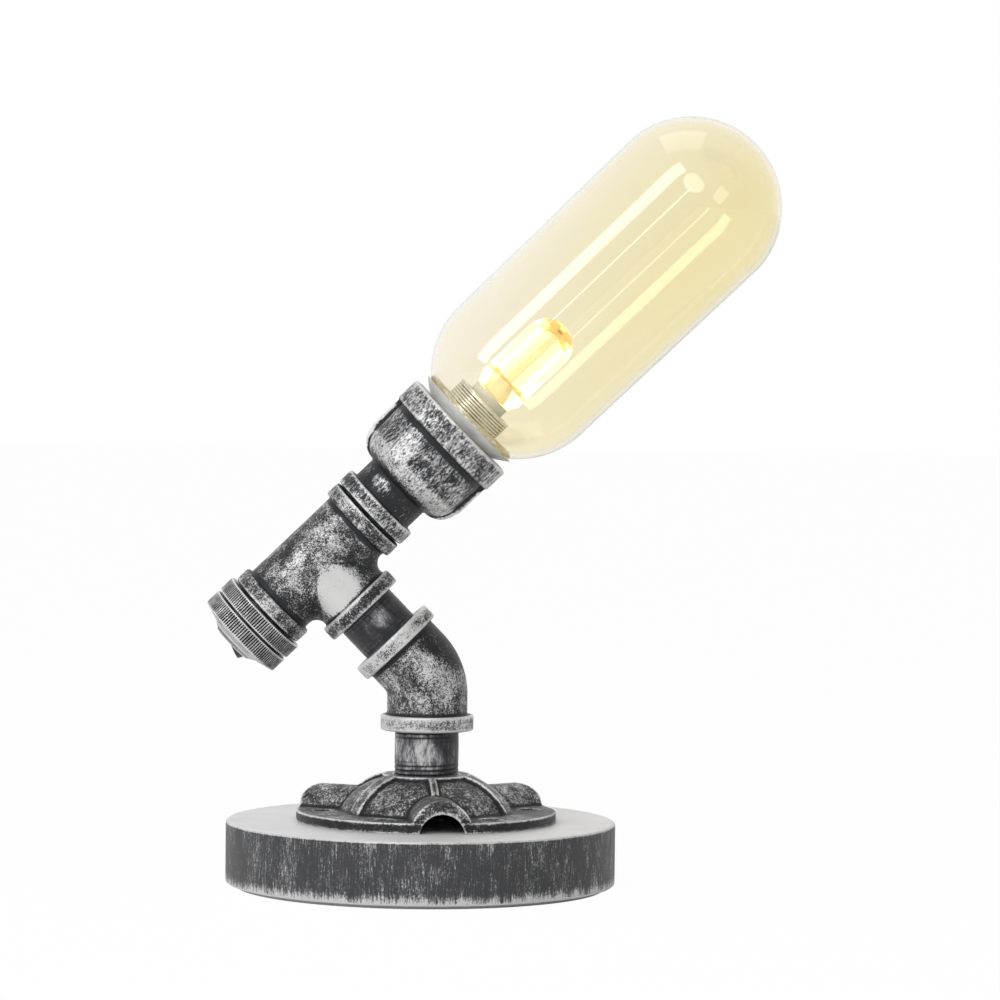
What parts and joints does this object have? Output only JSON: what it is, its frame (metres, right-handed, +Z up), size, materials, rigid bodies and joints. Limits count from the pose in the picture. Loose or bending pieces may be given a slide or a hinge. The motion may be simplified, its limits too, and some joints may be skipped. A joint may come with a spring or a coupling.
{
  "type": "pipe table lamp",
  "caption": "Table lamp of pipe fittings: round base, flange, elbow and tee, a ribbed cup with a glass capsule shade, and a knurled cap with a rocker switch.",
  "frame": {"origin": "middle of the base's underside, on the surface that the lamp stands on", "axes": "+Z up, +X the way the shade leans, +Y away from the side that the picture shows"},
  "size_m": [0.2191, 0.15, 0.2972],
  "materials": {
    "base_paint": "dark paint, dry-brushed with silver",
    "felt": "felt",
    "bush_rubber": "matt",
    "block_plastic": "matt",
    "lead_rubber": "silicone sleeving",
    "cast_silver": "antique silver, worn at the edges",
    "pipe_paint": "dark silver paint, scratched",
    "screw_black": "black oxide",
    "bright_steel": "nickel plated",
    "knurl_steel": "antique nickel, bright on the ridges",
    "socket_ceramic": "unglazed",
    "contact_brass": "plain",
    "switch_plastic": "fine grain",
    "amber_glass": "clear, pale amber",
    "clear_glass": "clear",
    "filament_phosphor": "phosphor coating, lit"
  },
  "bodies": {
    "base": {"base_disc": "base_paint", "base_pad": "felt", "cord_grommet": "bush_rubber", "terminal_block": "block_plastic", "base_leads": "lead_rubber", "floor_flange": "cast_silver", "flange_screws": "screw_black"},
    "mast": {"lower_nipple": "pipe_paint", "elbow": "cast_silver", "tee_nipple": "pipe_paint", "mast_leads": "lead_rubber"},
    "head": {"tee": "cast_silver", "close_nipple": "pipe_paint", "reducer_cup": "cast_silver", "holder_plate": "bright_steel", "sleeve_locknut": "bright_steel", "shade_seat": "bright_steel", "holder_sleeve": "bright_steel", "holder_ceramic": "socket_ceramic", "holder_contacts": "contact_brass", "head_leads": "lead_rubber", "cap_bushing": "pipe_paint", "knurled_cap": "knurl_steel", "switch_bezel": "knurl_steel", "switch_body": "switch_plastic", "switch_terminals": "contact_brass", "rocker_pin": "bright_steel"},
    "switch_rocker": {"rocker": "switch_plastic"},
    "shade": {"shade_ring": "bright_steel", "shade_glass": "amber_glass"},
    "bulb": {"bulb_base": "socket_ceramic", "bulb_pins": "bright_steel", "bulb_envelope": "clear_glass", "bulb_stem": "socket_ceramic", "bulb_clips": "contact_brass", "bulb_filaments": "filament_phosphor"}
  },
  "joints": [
    {"name": "mast_swivel", "type": "hinge", "parent": "base", "child": "mast", "pos_m": [0.002, 0, 0.0434], "axis": [0, 0, 1], "range_deg": [-90, 90]},
    {"name": "arm_swing", "type": "hinge", "parent": "mast", "child": "head", "pos_m": [-0.04039, 0, 0.12479], "axis": [-0.6972, 0, 0.7169], "range_deg": [-90, 90]},
    {"name": "rocker_press", "type": "hinge", "parent": "head", "child": "switch_rocker", "pos_m": [-0.072, 0, 0.09404], "axis": [0, -1, 0], "range_deg": [0, 18]},
    {"name": "shade_lift", "type": "slide", "parent": "head", "child": "shade", "axis": [0.7169, 0, 0.6972], "range_m": [0, 0.07]},
    {"name": "bulb_pull", "type": "slide", "parent": "head", "child": "bulb", "axis": [0.7169, 0, 0.6972], "range_m": [0, 0.014]}
  ]
}
